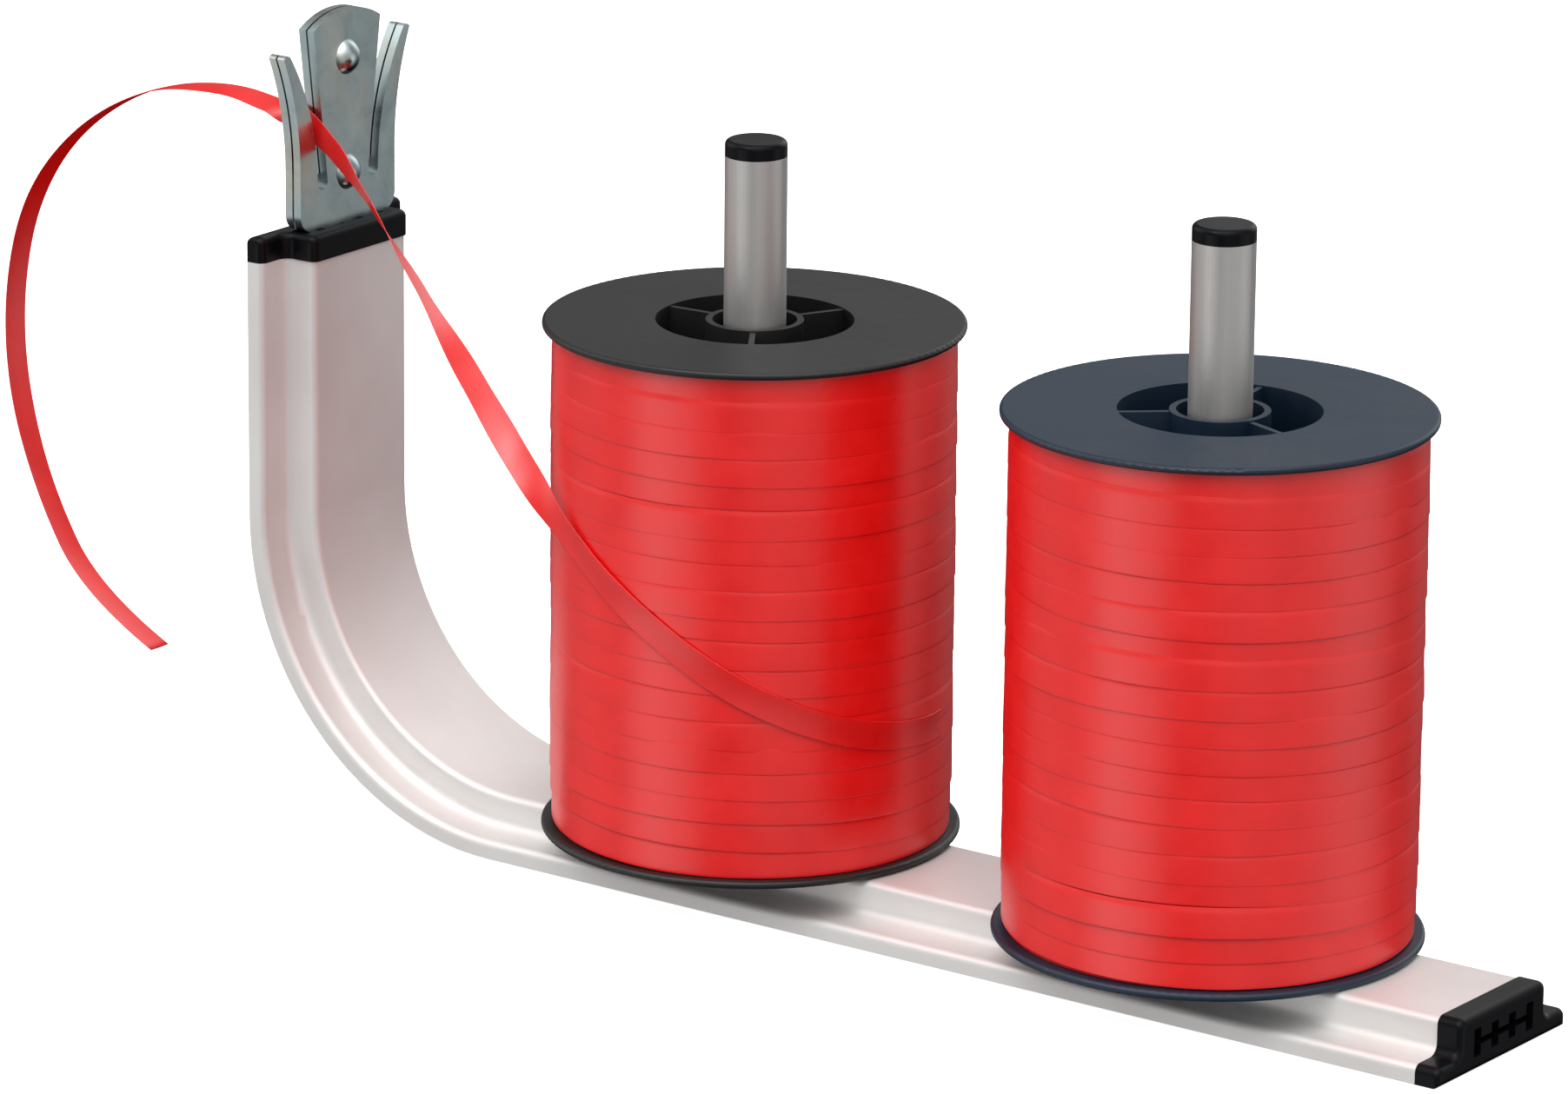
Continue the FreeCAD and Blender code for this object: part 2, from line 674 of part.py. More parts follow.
def make_spool_half(name, spigot):
    """Flange at local Z 0, core and hub upwards. The spigot half ends in a step that the other
    half's socket takes."""
    body = new_piece(name)
    core = sheet_size("core_diameter") / 2
    bore = core - sheet_size("core_wall")
    step = core - sheet_size("core_wall") / 2
    half = sheet_size("spool_height") / 2
    spigot_length = sheet_size("spigot_length")
    thickness = sheet_size("flange_thickness")
    rim = sheet_size("flange_rim_round")
    clearance = sheet_size("spigot_clearance")
    if spigot:
        end = [(step - clearance, half, 0.0), (step - clearance, half + spigot_length, 0.0),
               (bore, half + spigot_length, 0.0)]
    else:
        socket_floor = half - spigot_length - sheet_size("half_gap")
        end = [(step, half, 0.0), (step, socket_floor, 0.0), (bore, socket_floor, 0.0)]
    outline = new_sketch(body, name + "_outline", "XZ_Plane")
    flange = sheet_size("flange_diameter") / 2
    draw_outline(outline, *squared_steps([
        (bore, 0.0, 0.0), (flange, 0.0, rim), (flange, thickness, rim),
        (core, thickness, 0.0), (core, half, 0.0)] + end))
    revolve(body, outline, name + "_turned")

    hub = sheet_size("hub_diameter") / 2
    hub_bore = hub - sheet_size("hub_wall")
    half_rib = sheet_size("rib_thickness") / 2
    rib_top = sheet_size("rib_drop")
    inside_length = half - spigot_length - sheet_size("half_gap") - rib_top
    rib = new_sketch(body, name + "_rib", offset=rib_top)
    rectangle(rib, hub - sheet_size("hub_wall") / 2, bore + sheet_size("core_wall") / 4,
              -half_rib, half_rib)
    rib_pad = pad(body, rib, inside_length, name + "_rib_pad")
    pattern = body.newObject("PartDesign::PolarPattern", name + "_ribs")
    pattern.Originals = [rib_pad]
    pattern.Axis = (origin_part(body, "Z_Axis"), [""])
    pattern.Angle = 360
    pattern.Occurrences = RIB_COUNT
    body.Tip = pattern

    hub_wall = new_sketch(body, name + "_hub", "XZ_Plane")
    rectangle(hub_wall, hub_bore, hub, 0.0, half - sheet_size("half_gap") / 2)
    revolve(body, hub_wall, name + "_hub_turned")
    return body


def make_winding(number):
    """The wound ribbon between the flanges, a little slimmer at its foot."""
    body = new_piece(f"ribbon_winding_{number}")
    core = sheet_size("core_diameter") / 2
    low = sheet_size("flange_thickness")
    high = sheet_size("spool_height") - low
    full = sheet_size("winding_diameter") / 2
    foot = sheet_size("winding_foot_diameter") / 2
    outline = new_sketch(body, f"ribbon_winding_{number}_outline", "XZ_Plane")
    draw_outline(outline, (core, low), [
        (foot, low), (full, low + sheet_size("winding_foot_height")), (full, high),
        (core, high), (core, low)])
    revolve(body, outline, f"ribbon_winding_{number}_turned")
    place(body, x=spindle_x[number], z=spool_foot)


def make_spool(number):
    turn = FreeCAD.Rotation(Vector(0, 0, 1), FIRST_RIB_ANGLES[number])
    lower = make_spool_half(f"spool_lower_half_{number}", spigot=False)
    place(lower, turn, x=spindle_x[number], z=spool_foot)
    upper = make_spool_half(f"spool_upper_half_{number}", spigot=True)
    place(upper, turn.multiply(UPSIDE_DOWN), x=spindle_x[number],
          z=spool_foot + sheet_size("spool_height"))
    make_winding(number)


def ribbon_route():
    """The corners of the ribbon's path, and the direction across the ribbon at each."""
    wound = (sheet_size("winding_diameter").value + sheet_size("ribbon_thickness").value) / 2
    wound += sheet_size("ribbon_lift").value
    half_step = math.radians(RIBBON_ON_WINDING[1][0] - RIBBON_ON_WINDING[2][0] + 360) / 2
    corners = []
    for number, (angle, height) in enumerate(RIBBON_ON_WINDING):
        reach = wound / math.cos(half_step) if number else wound
        corners.append(Vector(spindle_x[1].value + reach * math.cos(math.radians(angle)),
                              reach * math.sin(math.radians(angle)),
                              rail_top.value + height))
    across = [Vector(0, 0, 1)] * len(corners)
    leave = corners[-1]
    notch = Vector(holder_x.value, -(sheet_size("notch_place") + RIBBON_NOTCH_OFFSET).value,
                   (holder_foot + RIBBON_NOTCH_HEIGHT).value)
    for share, bow, direction in RIBBON_TO_NOTCH:
        corners.append(leave + (notch - leave) * share + Vector(*bow))
        across.append(Vector(*direction).normalize())
    for offset, direction in RIBBON_PAST_NOTCH:
        corners.append(notch + Vector(*offset))
        across.append(Vector(*direction).normalize())
    return corners, across


def ribbon_stations():
    """Points along the ribbon's runs and the tangent arcs between them, and the direction
    across the ribbon at each."""
    points, across = ribbon_route()
    stations = [(points[0], points[1] - points[0], across[0])]
    length = 0.0
    for number in range(1, len(points) - 1):
        back = points[number - 1] - points[number]
        ahead = points[number + 1] - points[number]
        half_turn = (math.pi - back.getAngle(ahead)) / 2
        setback = ARC_SHARE * min(back.Length, ahead.Length)
        radius = setback / math.tan(half_turn)
        print(f"ribbon arc {number}: radius {radius:.1f} mm, turn {math.degrees(2 * half_turn):.0f}")
        back.normalize()
        ahead.normalize()
        enter = points[number] + back * setback
        leave = points[number] + ahead * setback
        centre = points[number] + (back + ahead).normalize() * math.hypot(setback, radius)
        inward = enter - centre
        axis = inward.cross(leave - centre).normalize()
        for step in range(ARC_STATIONS + 1):
            share = step / ARC_STATIONS
            spin = FreeCAD.Rotation(axis, math.degrees(2 * half_turn) * share)
            turned = spin.multVec(inward)
            lean = ARC_SHARE * (2 * share - 1)
            beside = across[number + 1] if lean > 0 else across[number - 1]
            blend = across[number] * (1 - abs(lean)) + beside * abs(lean)
            stations.append((centre + turned, axis.cross(turned), blend))
        length += 2 * half_turn * radius
    stations.append((points[-1], points[-1] - points[-2], across[-1]))
    for number in range(0, len(stations) - 1, ARC_STATIONS + 1):
        length += (stations[number + 1][0] - stations[number][0]).Length
    return stations, length


def ribbon_section(point, along, across):
    """The ribbon's cut face at one station."""
    along = Vector(along).normalize()
    side = Vector(across) - along * along.dot(across)
    side.normalize()
    normal = along.cross(side)
    wide = side * (sheet_size("ribbon_width").value / 2)
    thick = normal * (sheet_size("ribbon_thickness").value / 2)
    corners = [point - wide - thick, point + wide - thick, point + wide + thick,
               point - wide + thick]
    return Part.makePolygon(corners + corners[:1])


def make_ribbon_strand():
    stations, length = ribbon_stations()
    sections = [ribbon_section(*station) for station in stations]
    strand = doc.addObject("Part::Feature", "ribbon_strand")
    strand.Label = "ribbon_strand"
    strand.Shape = Part.makeLoft(sections, True, True)
    pieces.append(strand)
    flat = sheet_size("ribbon_width").value * sheet_size("ribbon_thickness").value
    print(f"ribbon strand: {length:.0f} mm long, volume {strand.Shape.Volume:.0f}, "
          f"section times length {flat * length:.0f}")


def write_pieces():
    doc.recompute()
    for thing in doc.Objects:
        if "Invalid" in thing.State or "Error" in thing.State:
            raise RuntimeError(f"{thing.Label} failed: {thing.State}")
    os.makedirs("parts", exist_ok=True)
    for piece in pieces:
        shape = piece.Shape
        if shape.isNull() or not shape.isValid() or not shape.Solids:
            raise RuntimeError(f"{piece.Label} has no valid solid")
        shape.exportStep(f"parts/{piece.Label}.step")
        print(f"{piece.Label}: {len(shape.Solids)} solid, {shape.Volume:.1f} mm3")


make_rail()
place(make_end_cap("base_end_cap"), FACING_X, x=rail_end_x)
place(make_end_cap("upright_end_cap"), FACING_UP, x=back_x, z=sheet_size("upright_height"))
half_blade = sheet_size("blade_thickness") / 2
place(make_cutter_plate("cutter_front_plate"), FACING_X, x=holder_x + half_blade, z=holder_foot)
place(make_cutter_plate("cutter_rear_plate"), FACING_BACK, x=holder_x - half_blade, z=holder_foot)
make_cutter_blade()
for rivet_kind in rivet_heights:
    make_rivet(rivet_kind)
for spindle_number in spindle_x:
    make_spindle(spindle_number)
    make_spool(spindle_number)
make_ribbon_strand()
write_pieces()
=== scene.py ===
import math

import bpy
from mathutils import Matrix, Vector, noise


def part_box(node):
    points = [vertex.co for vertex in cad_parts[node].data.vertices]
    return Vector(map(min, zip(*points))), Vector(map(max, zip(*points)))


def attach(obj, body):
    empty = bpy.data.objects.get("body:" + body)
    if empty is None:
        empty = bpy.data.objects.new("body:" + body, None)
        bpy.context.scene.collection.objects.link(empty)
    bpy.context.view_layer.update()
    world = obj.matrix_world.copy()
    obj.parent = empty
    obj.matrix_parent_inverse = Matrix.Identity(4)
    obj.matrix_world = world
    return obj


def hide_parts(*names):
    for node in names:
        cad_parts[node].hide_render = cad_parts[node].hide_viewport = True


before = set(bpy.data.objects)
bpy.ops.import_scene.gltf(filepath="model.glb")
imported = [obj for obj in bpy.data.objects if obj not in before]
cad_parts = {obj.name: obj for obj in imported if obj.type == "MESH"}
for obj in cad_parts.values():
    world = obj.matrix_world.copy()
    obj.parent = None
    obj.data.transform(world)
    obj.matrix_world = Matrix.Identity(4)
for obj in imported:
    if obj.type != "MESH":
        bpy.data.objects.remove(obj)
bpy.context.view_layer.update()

# The looks of the ribbon spool dispenser. The rigid CAD parts keep their meshes and get a finish
# each. The two windings and the free ribbon are made here, as wound and as hanging ribbon.
# Named lengths are in metres, and named angles in degrees.

# ---------------------------------------------------------------- places and sizes
SPOOL_X = {number: sum(corner.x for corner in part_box(f"spindle_tube_{number}")) / 2
           for number in (1, 2)}
RIBBON_WIDTH = 0.0063
RIBBON_THICKNESS = 0.00016
PLATE_EDGE = 0.00045  # how far the stamped plates' edges are rounded

# The free ribbon's route: corner points, and the direction across the ribbon at each. It
# starts on spool 1's winding, rises to the left notch and curls down behind it.
RIBBON_ROUTE = [
    ((-0.0044, 0.0308, 0.0420), (0.00, 0.00, 1.00)),
    ((0.0035, 0.0219, 0.0420), (0.00, 0.00, 1.00)),
    ((0.0100, -0.0017, 0.0431), (0.00, 0.00, 1.00)),
    ((0.0028, -0.0251, 0.0482), (0.00, 0.00, 1.00)),
    ((-0.0151, -0.0419, 0.0595), (0.00, 0.00, 1.00)),
    ((-0.0392, -0.0475, 0.0758), (0.00, 0.00, 1.00)),
    ((-0.0602, -0.0411, 0.0880), (0.00, 0.00, 1.00)),
    ((-0.0742, -0.0367, 0.0980), (0.60, 0.50, 0.60)),
    ((-0.0929, -0.0308, 0.1134), (0.40, 0.90, 0.10)),
    ((-0.1139, -0.0242, 0.1315), (-0.10, 0.90, -0.40)),
    ((-0.1338, -0.0179, 0.1473), (-0.40, 0.65, -0.65)),
    ((-0.1490, -0.0111, 0.1558), (-0.50, 0.30, -0.85)),
    ((-0.1605, -0.0109, 0.1623), (-0.50, -0.15, -0.85)),
    ((-0.1670, -0.0109, 0.1633), (-0.15, -0.95, -0.25)),
    ((-0.1800, -0.0114, 0.1658), (-0.10, -1.00, -0.15)),
    ((-0.2030, -0.0114, 0.1628), (0.00, -1.00, 0.00)),
    ((-0.2250, -0.0119, 0.1498), (0.00, -1.00, 0.00)),
    ((-0.2400, -0.0119, 0.1308), (-0.10, -1.00, 0.00)),
    ((-0.2460, -0.0119, 0.1068), (-0.10, -1.00, 0.00)),
    ((-0.2450, -0.0119, 0.0828), (-0.10, -1.00, 0.00)),
    ((-0.2370, -0.0119, 0.0588), (0.00, -1.00, 0.00)),
    ((-0.2230, -0.0119, 0.0368), (0.00, -1.00, 0.00)),
    ((-0.2020, -0.0119, 0.0268), (0.00, -1.00, 0.00)),
]


# ---------------------------------------------------------------- shader nodes
def linear(red, green, blue):
    """A colour in 0-255 sRGB numbers as linear values with alpha."""
    values = []
    for part in (red, green, blue):
        part /= 255
        values.append(part / 12.92 if part <= 0.04045 else ((part + 0.055) / 1.055) ** 2.4)
    return (*values, 1.0)


def scaled(colour, factor):
    """A linear colour times a factor, with alpha 1."""
    return tuple(part * factor for part in colour[:3]) + (1.0,)


def feed(tree, socket, value):
    """Link a node's output to a socket, or set a plain value on the socket."""
    if isinstance(value, bpy.types.NodeSocket):
        tree.links.new(value, socket)
    else:
        socket.default_value = value


def add_node(tree, kind, inputs, **settings):
    """A new node with its settings, and with its inputs by name or number."""
    made = tree.nodes.new(kind)
    for key, value in settings.items():
        setattr(made, key, value)
    for socket, value in inputs.items():
        feed(tree, made.inputs[socket], value)
    return made


def maths(tree, operation, *values):
    """The output of a Math node."""
    return add_node(tree, "ShaderNodeMath", dict(enumerate(values)),
                    operation=operation).outputs[0]


class Finish:
    """A material with a Principled shader, and small helpers for the nodes that feed it."""

    FINE_RELIEF = 0.0001  # the distance of every bump but the ribbon's waves

    def __init__(self, name, **sockets):
        self.material = bpy.data.materials.new(name)
        self.material.use_nodes = True
        self.tree = self.material.node_tree
        self.shader = self.tree.nodes["Principled BSDF"]
        self.normal = None
        for socket, value in sockets.items():
            self.to(socket.replace("_", " "), value)

    def to(self, socket, value):
        """Feed one of the shader's sockets."""
        feed(self.tree, self.shader.inputs[socket], value)

    def coordinates(self):
        return add_node(self.tree, "ShaderNodeTexCoord", {}).outputs["Object"]

    def place(self, scale=(1, 1, 1), offset=(0, 0, 0)):
        """Object coordinates, scaled and then moved."""
        return add_node(self.tree, "ShaderNodeMapping", {
            "Vector": self.coordinates(), "Location": offset,
            "Scale": scale}).outputs["Vector"]

    def round_place(self, centre_x, around, up):
        """Coordinates on an upright tube: the angle round it, and height, each times a scale."""
        parts = add_node(self.tree, "ShaderNodeSeparateXYZ",
                         {"Vector": self.coordinates()}).outputs
        shifted = maths(self.tree, "SUBTRACT", parts["X"], centre_x)
        angle = maths(self.tree, "ARCTAN2", parts["Y"], shifted)
        return add_node(self.tree, "ShaderNodeCombineXYZ", {
            "X": maths(self.tree, "MULTIPLY", angle, around),
            "Y": maths(self.tree, "MULTIPLY", parts["Z"], up)}).outputs["Vector"]

    def noise(self, vector, scale, detail=2.0, roughness=0.5, distortion=0.0):
        return add_node(self.tree, "ShaderNodeTexNoise", {
            "Vector": vector, "Scale": scale, "Detail": detail, "Roughness": roughness,
            "Distortion": distortion}).outputs["Fac"]

    def spread(self, value, low, high):
        """A noise value, mostly between 0.3 and 0.7, as a number between low and high."""
        return add_node(self.tree, "ShaderNodeMapRange", {
            "Value": value, "From Min": 0.3, "From Max": 0.7, "To Min": low,
            "To Max": high}).outputs["Result"]

    def colours(self, value, *stops):
        """A colour ramp through stops of position and colour."""
        ramp = add_node(self.tree, "ShaderNodeValToRGB", {"Fac": value})
        while len(ramp.color_ramp.elements) < len(stops):
            ramp.color_ramp.elements.new(0.5)
        for element, (position, colour) in zip(ramp.color_ramp.elements, stops):
            element.position = position
            element.color = colour
        return ramp.outputs["Color"]

    def product(self, first, second):
        """Two colours multiplied. Inputs 6 and 7 and output 2 are a Mix node's colour ones."""
        return add_node(self.tree, "ShaderNodeMix", {"Factor": 1.0, 6: first, 7: second},
                        data_type="RGBA", blend_type="MULTIPLY").outputs[2]

    def bump(self, height, strength, distance=FINE_RELIEF):
        """Add a relief on top of those added before."""
        inputs = {"Height": height, "Strength": strength, "Distance": distance}
        if self.normal is not None:
            inputs["Normal"] = self.normal
        self.normal = add_node(self.tree, "ShaderNodeBump", inputs).outputs["Normal"]
        self.to("Normal", self.normal)


# ---------------------------------------------------------------- finishes
def rail_finish():
    """Satin anodised aluminium with faint drawing lines along the extrusion."""
    finish = Finish("rail_anodised", Metallic=0.5)
    lines = finish.noise(finish.place(scale=(0.02, 1.0, 0.02)), scale=2600, detail=3)
    cloud = finish.noise(finish.place(), scale=26, detail=3, roughness=0.55)
    finish.to("Base Color", finish.colours(
        cloud, (0.3, linear(219, 215, 213)), (0.7, linear(229, 227, 225))))
    finish.to("Roughness", finish.spread(lines, low=0.50, high=0.56))
    finish.bump(finish.noise(finish.place(), scale=5200), strength=0.10)
    finish.bump(lines, strength=0.06)
    return finish.material


def tube_finish(number):
    """Satin anodised tube, drawn lengthwise."""
    finish = Finish(f"spindle_anodised_{number}", Metallic=0.85)
    around = finish.round_place(SPOOL_X[number], around=36, up=8)
    lines = finish.noise(around, scale=1.0, detail=4, roughness=0.6)
    fine = finish.noise(finish.place(scale=(1, 1, 0.05)), scale=4200)
    finish.to("Base Color", finish.colours(
        lines, (0.3, linear(192, 190, 187)), (0.7, linear(203, 201, 198))))
    finish.to("Roughness", finish.spread(fine, low=0.42, high=0.50))
    finish.bump(fine, strength=0.12)
    return finish.material


def plastic_finish(name, colour, roughness, gloss):
    """Dark moulded plastic with a fine eroded grain."""
    finish = Finish(name, Specular_IOR_Level=gloss)
    cloud = finish.noise(finish.place(), scale=55, detail=4, roughness=0.6)
    finish.to("Base Color", finish.colours(
        cloud, (0.35, colour), (0.75, scaled(colour, 1.35))))
    finish.to("Roughness", finish.spread(cloud, low=roughness - 0.05, high=roughness + 0.06))
    grain = finish.noise(finish.place(), scale=3800, detail=3, roughness=0.6)
    finish.bump(grain, strength=0.16)
    return finish.material


def zinc_finish(name, roughness):
    """Bluish zinc plating on pressed steel: soft mottling, rolling lines and a faint bloom."""
    finish = Finish(name, Metallic=1.0)
    cloud = finish.noise(finish.place(), scale=120, detail=5, roughness=0.62, distortion=0.6)
    bloom = finish.noise(finish.place(scale=(1, 1, 0.35), offset=(0.3, 0.1, 0)), scale=75)
    tint = finish.colours(bloom, (0.3, linear(180, 201, 205)), (0.52, linear(197, 211, 211)),
                          (0.75, linear(215, 213, 200)))
    shade = finish.colours(cloud, (0.25, linear(228, 230, 231)), (0.7, linear(255, 255, 255)))
    finish.to("Base Color", finish.product(tint, shade))
    finish.to("Roughness", finish.spread(cloud, low=roughness - 0.06, high=roughness + 0.1))
    rolled = finish.noise(finish.place(scale=(1, 1, 0.06)), scale=1500, detail=3)
    finish.bump(rolled, strength=0.05)
    return finish.material


def steel_finish(name, colour, roughness, marks=(1, 1, 1)):
    """Plain bright steel. A number below 1 in marks draws its fine marks out along that axis."""
    finish = Finish(name, Metallic=1.0)
    fine = finish.noise(finish.place(scale=marks), scale=2400, detail=3)
    finish.to("Base Color", finish.colours(
        fine, (0.3, scaled(colour, 0.86)), (0.7, colour)))
    finish.to("Roughness", finish.spread(fine, low=roughness - 0.05, high=roughness + 0.06))
    finish.bump(fine, strength=0.10)
    return finish.material


def ribbon_finish(name, translucency=0.0):
    """Red satin polypropylene film, finely embossed. A single layer lets some light through."""
    finish = Finish(name, Specular_IOR_Level=0.85, Subsurface_Weight=translucency,
                    Subsurface_Scale=0.002)
    cloud = finish.noise(finish.place(), scale=90, detail=3, roughness=0.6)
    finish.to("Base Color", finish.colours(
        cloud, (0.3, linear(227, 12, 12)), (0.72, linear(238, 20, 18))))
    finish.to("Roughness", finish.spread(cloud, low=0.28, high=0.35))
    grain = finish.noise(finish.place(), scale=1900, detail=4, roughness=0.7)
    finish.bump(grain, strength=0.18)
    waves = finish.noise(finish.place(scale=(1, 1, 1.6)), scale=240, detail=3)
    finish.bump(waves, strength=0.10, distance=0.0002)
    return finish.material


def paint(material, *nodes):
    """Give CAD parts one material in place of their own."""
    for node in nodes:
        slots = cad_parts[node].data.materials
        slots.clear()
        slots.append(material)


def round_edges(node, width):
    """Soften the edges of a pressed sheet, as its stamping leaves them."""
    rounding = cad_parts[node].modifiers.new("rounded_edges", "BEVEL")
    rounding.width = width
    rounding.segments = 3
    rounding.limit_method = "ANGLE"
    rounding.angle_limit = math.radians(35)


def dress_parts():
    """Every rigid CAD part's finish."""
    paint(rail_finish(), "rail")
    paint(plastic_finish("cap_black", linear(8, 9, 12), roughness=0.30, gloss=0.12),
          "base_end_cap", "upright_end_cap", "spindle_cap_1", "spindle_cap_2")
    plates = ("cutter_front_plate", "cutter_rear_plate")
    paint(zinc_finish("zinc_plate", roughness=0.29), *plates)
    for plate in plates:
        round_edges(plate, PLATE_EDGE)
    paint(zinc_finish("zinc_rivet", roughness=0.2), "cutter_rivet_upper", "cutter_rivet_lower")
    paint(steel_finish("blade_ground", linear(150, 152, 155), roughness=0.3,
                       marks=(1, 1, 0.05)), "cutter_blade")
    hardware = steel_finish("hardware_plated", linear(176, 178, 178), roughness=0.32)
    for number, colour, gloss in ((1, linear(15, 15, 16), 0.5), (2, linear(13, 31, 48), 0.46)):
        paint(tube_finish(number), f"spindle_tube_{number}")
        paint(hardware, f"spindle_insert_{number}", f"spindle_screw_{number}",
              f"spindle_washer_{number}")
        paint(plastic_finish(f"spool_plastic_{number}", colour, roughness=0.46, gloss=gloss),
              f"spool_upper_half_{number}", f"spool_lower_half_{number}")


# ---------------------------------------------------------------- meshes
def clamp(value, low, high):
    return min(max(value, low), high)


def mesh_object(name, vertices, faces, material):
    """A smooth-shaded object in the scene."""
    mesh = bpy.data.meshes.new(name)
    mesh.from_pydata(vertices, [], faces)
    mesh.validate()
    mesh.materials.append(material)
    for polygon in mesh.polygons:
        polygon.use_smooth = True
    thing = bpy.data.objects.new(name, mesh)
    bpy.context.scene.collection.objects.link(thing)
    return thing


# ---------------------------------------------------------------- wound ribbon
WINDING_START = 126  # round the spool's axis from +X, where the lowest turn begins
TURN_STEPS = 120
END_GAP = 0.0001  # between the turns and each end of the CAD winding
WANDER = 0.0009  # how far a turn strays up and down,
WANDER_ROOM = 0.008  # and less within this distance of an end
TURN_INSET = 0.00028  # from the CAD winding's surface to a turn's face
FOOT_DRAW = 0.0007  # how far the winding draws in at its foot,
FOOT_SHARE = 0.11  # from this share of its height down
HEAD_DRAW = 0.0005  # the same at its head
HEAD_SHARE = 0.06
SLOW_UNEVENNESS = 0.00012  # of a turn's radius
QUICK_UNEVENNESS = 0.00005
LAP = 0.00006  # how far a turn's lower edge stands out over the turn below,
LAP_CHANGE = 0.00010  # how much that varies,
LEAST_LAP = 0.00001  # and the least of it
GAP = 0.30  # the depth of the groove at a turn's lower edge, as a share of its full depth,
GAP_CHANGE = 0.9  # how much that varies,
LEAST_GAP = 0.05  # and the least of it
SECTION_DEPTH = 0.0006  # the length that 1 stands for in the section's second numbers
GROOVE_SHARE = -0.4  # the section's points below this share make the groove
# A turn's section, from its lower edge up: share of the ribbon's width from its middle, and
# place outward from its face. The last point lies behind the next turn up.
TURN_SECTION = (
    (-0.5, -0.42), (-0.497, -0.12), (-0.48, -0.03), (-0.44, 0.0), (-0.2, 0.0),
    (0.1, -0.01), (0.36, -0.03), (0.46, -0.05), (0.5, -0.12), (0.64, -0.30),
)
# The layer under the turns: height from the foot, or from the head, and inset from the surface.
UNDERLAYER_FOOT = ((0.0, 0.0014), (0.012, 0.0007))
UNDERLAYER_HEAD = ((-0.004, 0.0007), (0.0, 0.0012))
UNDERLAYER_STEPS = 96
NOISE_PER_RADIAN = 0.45
NOISE_BETWEEN_SEEDS = 7.31
NOISE_GAIN = 1.6


def smooth_value(angle, seed):
    """A value that varies slowly between about -1 and 1 along a wound ribbon, the same in every
    run. Each use has a rate, an offset and a seed of its own, so that no two vary together."""
    return noise.noise(Vector((angle * NOISE_PER_RADIAN, seed * NOISE_BETWEEN_SEEDS,
                               0.5))) * NOISE_GAIN


def turn_radius(outer, rise, angle, seed):
    """The radius of a turn's face, at a share of the winding's height."""
    radius = outer - TURN_INSET
    radius -= FOOT_DRAW * max(0.0, 1 - rise / FOOT_SHARE) ** 1.5
    radius -= HEAD_DRAW * max(0.0, 1 - (1 - rise) / HEAD_SHARE)
    radius += smooth_value(angle * 0.8 + 40, seed + 3) * SLOW_UNEVENNESS
    radius += smooth_value(angle * 10, seed + 4) * QUICK_UNEVENNESS
    return radius


def winding_turns(axis_x, outer, bottom, top, seed):
    """One band wound from the foot up, each turn lapping a little over the one below it. It
    keeps level over the first and the last half turn."""
    climbing_turns = round((top - bottom) / RIBBON_WIDTH)
    pitch = (top - bottom - RIBBON_WIDTH) / climbing_turns
    lowest = bottom + RIBBON_WIDTH / 2
    highest = top - RIBBON_WIDTH / 2
    steps = (climbing_turns + 1) * TURN_STEPS
    vertices = []
    for step in range(steps + 1):
        angle = math.radians(WINDING_START) - step / TURN_STEPS * 2 * math.pi
        climb = clamp((step - TURN_STEPS / 2) / (climbing_turns * TURN_STEPS), 0.0, 1.0)
        height = lowest + climb * pitch * climbing_turns
        freedom = clamp(min(height - bottom, top - height) / WANDER_ROOM, 0.0, 1.0)
        height += smooth_value(angle, seed) * WANDER * freedom
        height = clamp(height, lowest, highest)
        radius = turn_radius(outer, (height - bottom) / (top - bottom), angle, seed)
        lap = max(LAP + LAP_CHANGE * smooth_value(angle * 1.3 + 90, seed + 5), LEAST_LAP)
        gap = GAP + GAP_CHANGE * smooth_value(angle * 1.1 + 20, seed + 7)
        gap = clamp(gap, LEAST_GAP, 1.0)
        for share, outward in TURN_SECTION:
            reach = radius + lap * (0.5 - share)
            reach += outward * SECTION_DEPTH * (gap if share < GROOVE_SHARE else 1.0)
            vertices.append((axis_x + reach * math.cos(angle), reach * math.sin(angle),
                             min(height + share * RIBBON_WIDTH, top)))
    width = len(TURN_SECTION)
    faces = []
    for step in range(steps):
        for place in range(width - 1):
            first = step * width + place
            faces.append((first, first + 1, first + width + 1, first + width))
    return vertices, faces


def underlayer(axis_x, outer, bottom, top, base):
    """The layer below the turns, seen only in the gaps. Its vertices count from base."""
    levels = [(bottom + rise, outer - inset) for rise, inset in UNDERLAYER_FOOT]
    levels += [(top + rise, outer - inset) for rise, inset in UNDERLAYER_HEAD]
    vertices = []
    faces = []
    for step in range(UNDERLAYER_STEPS):
        angle = step / UNDERLAYER_STEPS * 2 * math.pi
        for height, reach in levels:
            vertices.append((axis_x + reach * math.cos(angle), reach * math.sin(angle), height))
    for step in range(UNDERLAYER_STEPS):
        for level in range(len(levels) - 1):
            first = base + step * len(levels) + level
            second = base + (step + 1) % UNDERLAYER_STEPS * len(levels) + level
            faces.append((first, second, second + 1, first + 1))
    return vertices, faces


def make_winding(number, seed, material):
    """A spool's wound ribbon, within the CAD winding's surface."""
    node = f"ribbon_winding_{number}"
    low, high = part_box(node)
    outer = (high.x - low.x) / 2
    place = (SPOOL_X[number], outer, low.z + END_GAP, high.z - END_GAP)
    vertices, faces = winding_turns(*place, seed)
    below = underlayer(*place, len(vertices))
    winding = mesh_object(f"wound_ribbon_{number}", vertices + below[0], faces + below[1],
                          material)
    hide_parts(node)
    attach(winding, f"spool_{number}")


